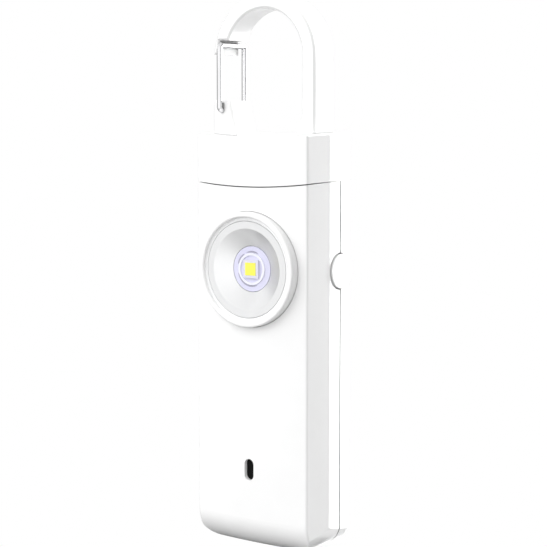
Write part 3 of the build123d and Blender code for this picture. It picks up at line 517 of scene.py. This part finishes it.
def arc_tracks(name, centre, radius, width, depth, spans, material):
    """Thin raised arcs on a face that looks to the front, each from one angle to another."""
    mesh = bpy.data.meshes.new(name)
    form = bmesh.new()
    for start, end in spans:
        rows = []
        for step in range(TRACK_STEPS + 1):
            angle = math.radians(start + (end - start) * step / TRACK_STEPS)
            taper = math.sqrt(math.sin(math.pi * step / TRACK_STEPS))
            row = []
            for side, back in ((-1, 0), (-1, -depth), (1, -depth), (1, 0)):
                reach = radius + side * width / 2 * max(taper, TRACK_END_SHARE)
                spot = Vector((reach * math.cos(angle), back, reach * math.sin(angle)))
                row.append(form.verts.new(centre + spot))
            rows.append(row)
        for low, high in zip(rows, rows[1:]):
            for k in range(len(low)):
                after = (k + 1) % len(low)
                form.faces.new((low[k], low[after], high[after], high[k]))
        form.faces.new(rows[0][::-1])
        form.faces.new(rows[-1])
    bmesh.ops.recalc_face_normals(form, faces=form.faces)
    form.to_mesh(mesh)
    form.free()
    mesh.materials.append(material)
    piece = bpy.data.objects.new(name, mesh)
    scene.collection.objects.link(piece)
    return piece


def front_middle(low, high):
    """The middle of a box's front face."""
    return Vector(((low[0] + high[0]) / 2, low[1], (low[2] + high[2]) / 2))


board_low, board_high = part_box("led_board")
dam_low, dam_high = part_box("led_dam")
dam_radius = (dam_high[0] - dam_low[0]) / 2
tracks = arc_tracks(
    "led_tracks",
    front_middle(board_low, board_high),
    dam_radius + TRACK_GAP,
    TRACK_WIDTH,
    TRACK_HEIGHT,
    TRACK_SPANS,
    led_dark,
)
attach(tracks, "body")


# Lens, drawn a hair clear of the seats behind it
LENS_GAP = 0.03 * MM
LENS_EDGE = 0.15 * MM
LENS_DOME = 0.2 * MM
LENS_STEPS = 12
LENS_SEGMENTS = 96
SHARP_ANGLE = math.radians(30)


def turned(name, profile, centre, segments, material):
    """A closed disc about the lamp's axis, from points of radius and depth behind its front."""
    mesh = bpy.data.meshes.new(name)
    form = bmesh.new()
    rings = []
    for radius, back in profile:
        if radius == 0:
            rings.append([form.verts.new(centre + Vector((0, back, 0)))])
            continue
        ring = []
        for step in range(segments):
            angle = 2 * math.pi * step / segments
            spot = Vector((radius * math.cos(angle), back, radius * math.sin(angle)))
            ring.append(form.verts.new(centre + spot))
        rings.append(ring)
    for low, high in zip(rings, rings[1:]):
        for step in range(segments):
            after = (step + 1) % segments
            corners = [low[step % len(low)], low[after % len(low)]]
            corners += [high[after % len(high)], high[step % len(high)]]
            form.faces.new(list(dict.fromkeys(corners)))
    bmesh.ops.recalc_face_normals(form, faces=form.faces)
    form.to_mesh(mesh)
    form.free()
    for polygon in mesh.polygons:
        polygon.use_smooth = True
    mesh.set_sharp_from_angle(angle=SHARP_ANGLE)
    mesh.materials.append(material)
    piece = bpy.data.objects.new(name, mesh)
    scene.collection.objects.link(piece)
    return piece


lens_low, lens_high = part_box("lamp_lens")
lens_radius = (lens_high[0] - lens_low[0]) / 2 - LENS_GAP
lens_depth = lens_high[1] - lens_low[1] - LENS_GAP
lens_profile = []
for step in range(LENS_STEPS + 1):
    share = step / LENS_STEPS
    reach = (lens_radius - LENS_EDGE) * share
    lens_profile.append((reach, LENS_DOME * share ** 2))
lens_profile += [
    (lens_radius, LENS_DOME + LENS_EDGE),
    (lens_radius, lens_depth - LENS_EDGE),
    (lens_radius - LENS_EDGE, lens_depth),
    (0, lens_depth),
]
lens_piece = turned(
    "clear_lens", lens_profile, front_middle(lens_low, lens_high), LENS_SEGMENTS, lens_clear
)
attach(lens_piece, "body")
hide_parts("lamp_lens")


# Floor, seen by the camera as plain white
FLOOR_GREY = (0.36, 0.36, 0.36)
FLOOR_CHANGE = 0.01
FLOOR_REACH = 3.0
FLOOR_DROP = 0.02 * MM
FLOOR_PATCH_SCALE = 6
FLOOR_PATCH_DETAIL = 3


def build_floor():
    """A pale floor that the camera sees as white, and whose bounce lights the object."""
    mesh = bpy.data.meshes.new("floor")
    sides = ((-1, -1), (1, -1), (1, 1), (-1, 1))
    corners = [(x * FLOOR_REACH, y * FLOOR_REACH, 0) for x, y in sides]
    mesh.from_pydata(corners, [], [tuple(range(len(corners)))])
    floor = bpy.data.objects.new("floor", mesh)
    floor.location.z = cad_low[2] - FLOOR_DROP
    floor.visible_glossy = False
    floor.visible_transmission = False
    scene.collection.objects.link(floor)
    material = bpy.data.materials.new("floor_white")
    material.use_nodes = True
    nodes = material.node_tree.nodes
    links = material.node_tree.links
    nodes.clear()
    paint = nodes.new("ShaderNodeBsdfDiffuse")
    slow = noise(nodes, links, FLOOR_PATCH_SCALE, FLOOR_PATCH_DETAIL)
    links.new(tint(nodes, links, slow, FLOOR_GREY, FLOOR_CHANGE), paint.inputs["Color"])
    white = nodes.new("ShaderNodeEmission")
    path = nodes.new("ShaderNodeLightPath")
    mix = nodes.new("ShaderNodeMixShader")
    links.new(path.outputs["Is Camera Ray"], mix.inputs["Fac"])
    links.new(paint.outputs["BSDF"], mix.inputs[1])
    links.new(white.outputs["Emission"], mix.inputs[2])
    out = nodes.new("ShaderNodeOutputMaterial")
    links.new(mix.outputs["Shader"], out.inputs["Surface"])
    mesh.materials.append(material)


build_floor()
